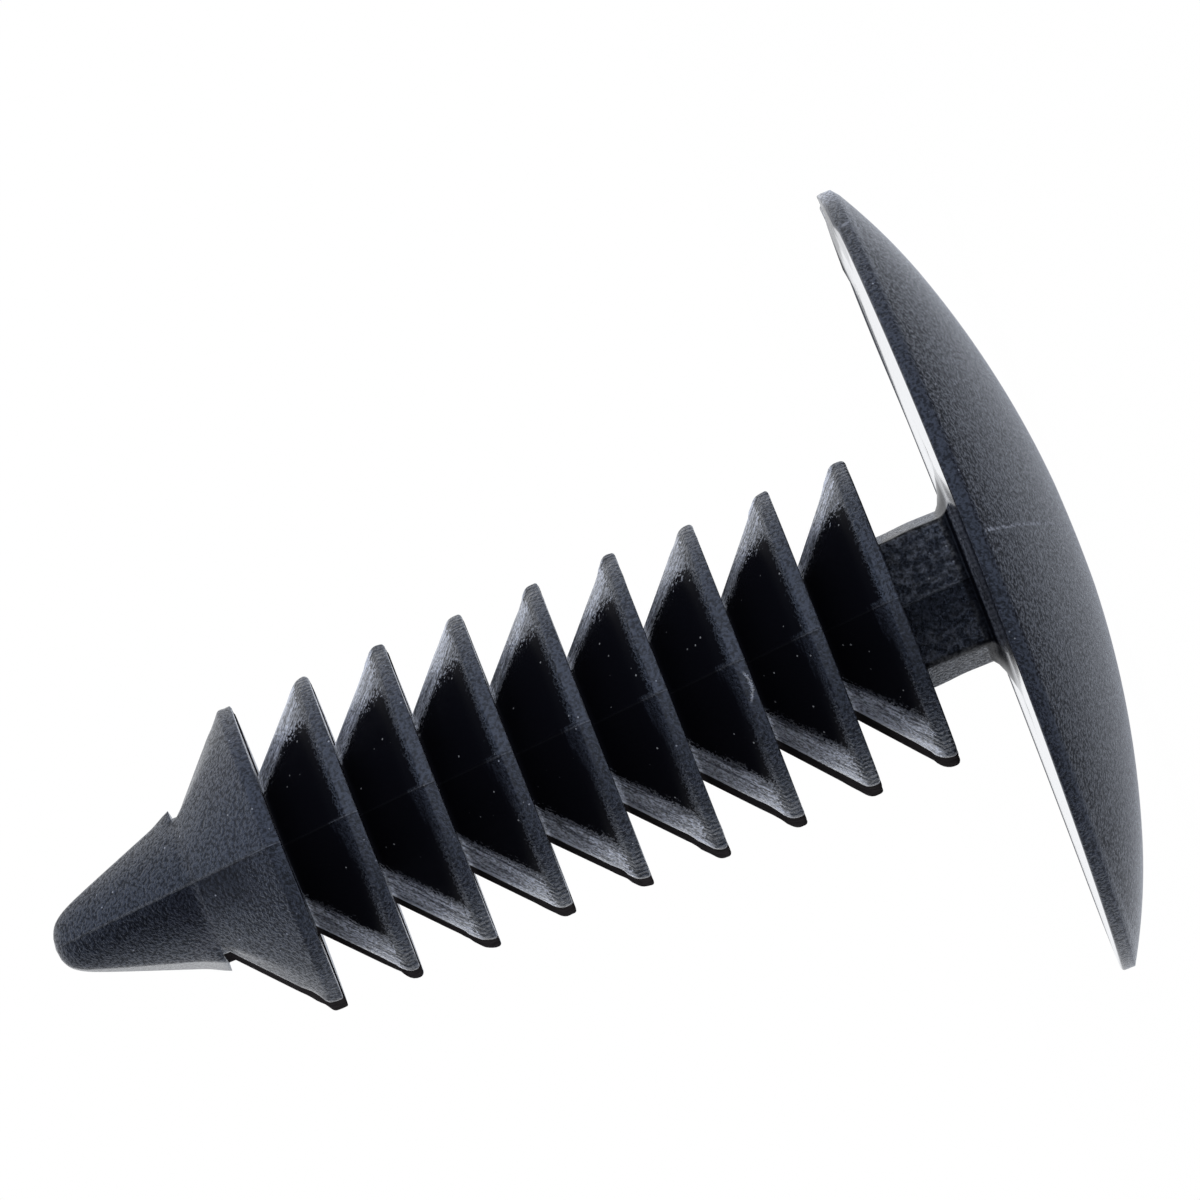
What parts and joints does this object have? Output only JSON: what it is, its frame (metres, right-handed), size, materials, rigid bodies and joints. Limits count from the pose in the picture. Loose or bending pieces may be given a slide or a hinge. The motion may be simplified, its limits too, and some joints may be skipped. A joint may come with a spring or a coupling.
{
  "type": "ratchet clip",
  "caption": "Black plastic push-in clip with a shallow domed head, a short neck, a stem of saw-tooth fins and a blunt nose.",
  "frame": {"origin": "centre of the head's flat underside, where it seats on the panel", "axes": "+Z along the stem to the nose, with the dome at -Z; the fins' flats face +X and -X, and the ridges where the mould parted lie at +Y and -Y"},
  "size_m": [0.025, 0.025, 0.033],
  "materials": {
    "black_plastic": "fine moulded grain with a soft sheen, as moulded black nylon has"
  },
  "bodies": {
    "root": {"ratchet_clip": "black_plastic"}
  },
  "joints": []
}
